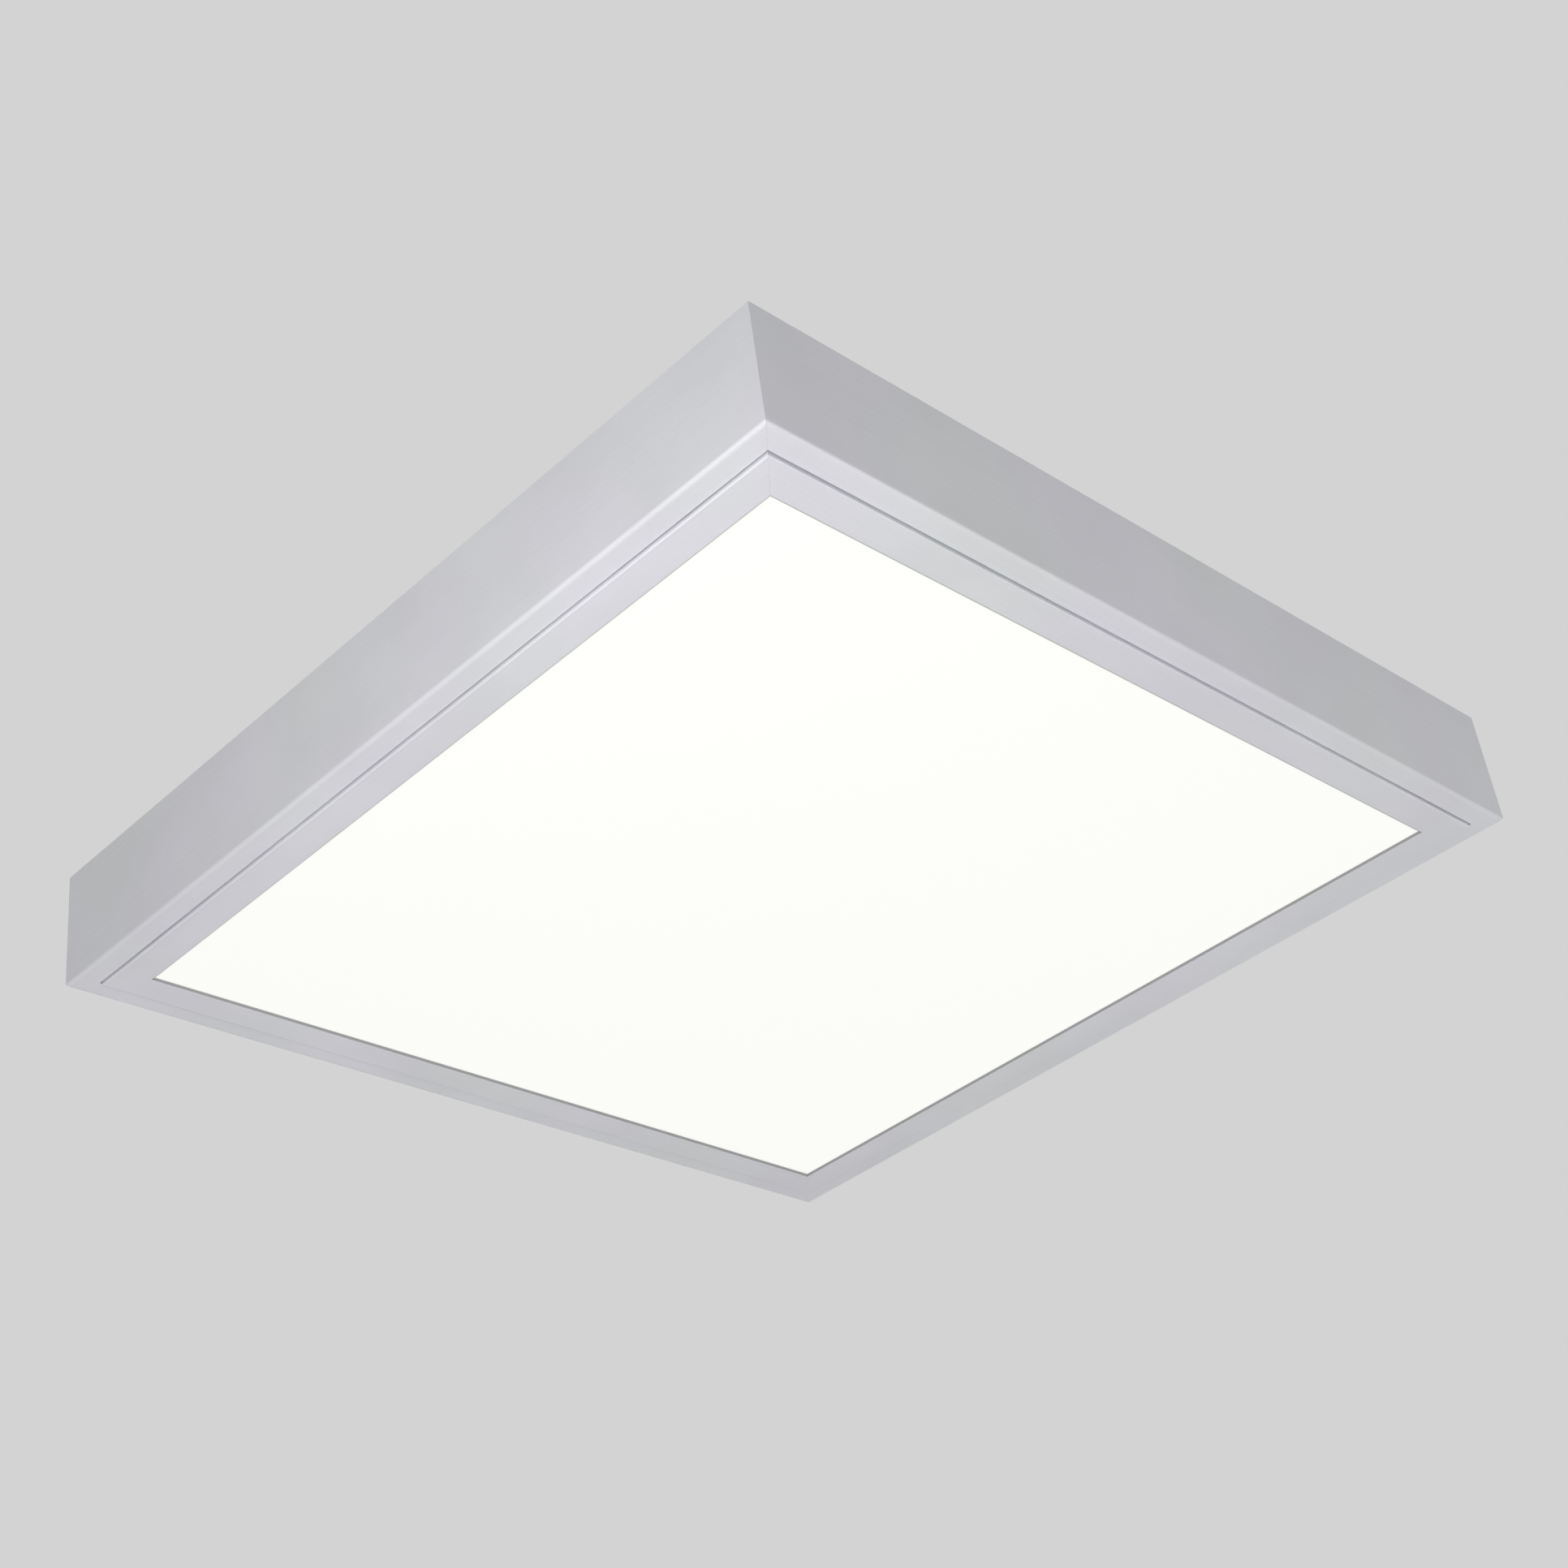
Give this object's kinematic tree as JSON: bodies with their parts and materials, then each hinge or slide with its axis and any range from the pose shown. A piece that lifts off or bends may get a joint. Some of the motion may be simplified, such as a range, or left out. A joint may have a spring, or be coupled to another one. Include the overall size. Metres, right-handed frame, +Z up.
{
  "type": "surface mounted led ceiling light",
  "caption": "Square ceiling mounted LED panel light: a deep silver aluminium housing closed by an opal lit panel that swings down on concealed pins.",
  "frame": {"origin": "centre of the ceiling plane, in the middle of the four ceiling holes of the right and left rails", "axes": "+Z up into the ceiling; +X towards the hinge side of the panel; +Y towards the left rail and the mains terminal"},
  "size_m": [0.603, 0.603, 0.077],
  "materials": {
    "anodised_aluminium": "satin",
    "bright_steel": "satin",
    "spring_steel": "satin",
    "zinc": "satin",
    "white_sheet": "matte",
    "opal_diffuser": "satin",
    "clear_acrylic": "polished",
    "reflector_film": "matte",
    "white_foam": "matte",
    "led_board": "satin",
    "led_phosphor": "gloss",
    "driver_case": "satin",
    "circuit_board": "satin",
    "ferrite": "matte",
    "copper_winding": "satin",
    "capacitor_sleeve": "gloss",
    "aluminium_sink": "satin",
    "black_nylon": "satin",
    "ivory_nylon": "satin",
    "white_lead": "satin",
    "red_wire": "satin"
  },
  "bodies": {
    "housing": {"rail_right": "anodised_aluminium", "rail_hinge_side": "anodised_aluminium", "rail_left": "anodised_aluminium", "rail_catch_side": "anodised_aluminium", "corner_brackets_lower": "bright_steel", "corner_brackets_upper": "bright_steel", "corner_grub_screws": "zinc", "hinge_block_right": "zinc", "hinge_block_left": "zinc", "slot_nuts": "zinc", "slot_screws": "bright_steel", "catch_spring_right": "spring_steel", "catch_spring_left": "spring_steel", "panel_stops": "black_nylon"},
    "panel": {"panel_bar_right": "anodised_aluminium", "panel_bar_hinge_side": "anodised_aluminium", "panel_bar_left": "anodised_aluminium", "panel_bar_catch_side": "anodised_aluminium", "panel_corner_keys": "bright_steel", "panel_corner_screws": "zinc", "diffuser": "opal_diffuser", "light_guide": "clear_acrylic", "reflector": "reflector_film", "foam_pad": "white_foam", "back_plate": "white_sheet", "back_plate_screws": "zinc", "led_board_hinge_side": "led_board", "led_board_catch_side": "led_board", "leds_hinge_side": "led_phosphor", "leds_catch_side": "led_phosphor", "pivot_bracket_right": "bright_steel", "pivot_bracket_left": "bright_steel", "hinge_pin_right": "zinc", "hinge_pin_left": "zinc", "striker_right": "bright_steel", "striker_left": "bright_steel", "bracket_screws": "zinc", "driver_tray": "driver_case", "driver_cover": "driver_case", "driver_board": "circuit_board", "driver_transformer": "ferrite", "driver_choke": "copper_winding", "driver_capacitors": "capacitor_sleeve", "driver_heat_sink": "aluminium_sink", "driver_screws": "zinc", "driver_bush": "black_nylon", "mains_terminal": "ivory_nylon", "mains_terminal_screws": "bright_steel", "driver_lead": "white_lead", "lead_plug": "ivory_nylon", "lead_socket": "ivory_nylon", "panel_lead": "white_lead", "lead_saddles": "ivory_nylon", "panel_boot": "black_nylon", "feed_wires": "red_wire", "link_wire": "red_wire"}
  },
  "joints": [
    {"name": "panel_hinge", "type": "hinge", "parent": "housing", "child": "panel", "pos_m": [0.2363, 0, -0.062], "axis": [0, -1, 0], "range_deg": [0, 90], "deforming": ["catch_spring_right", "catch_spring_left"]}
  ]
}
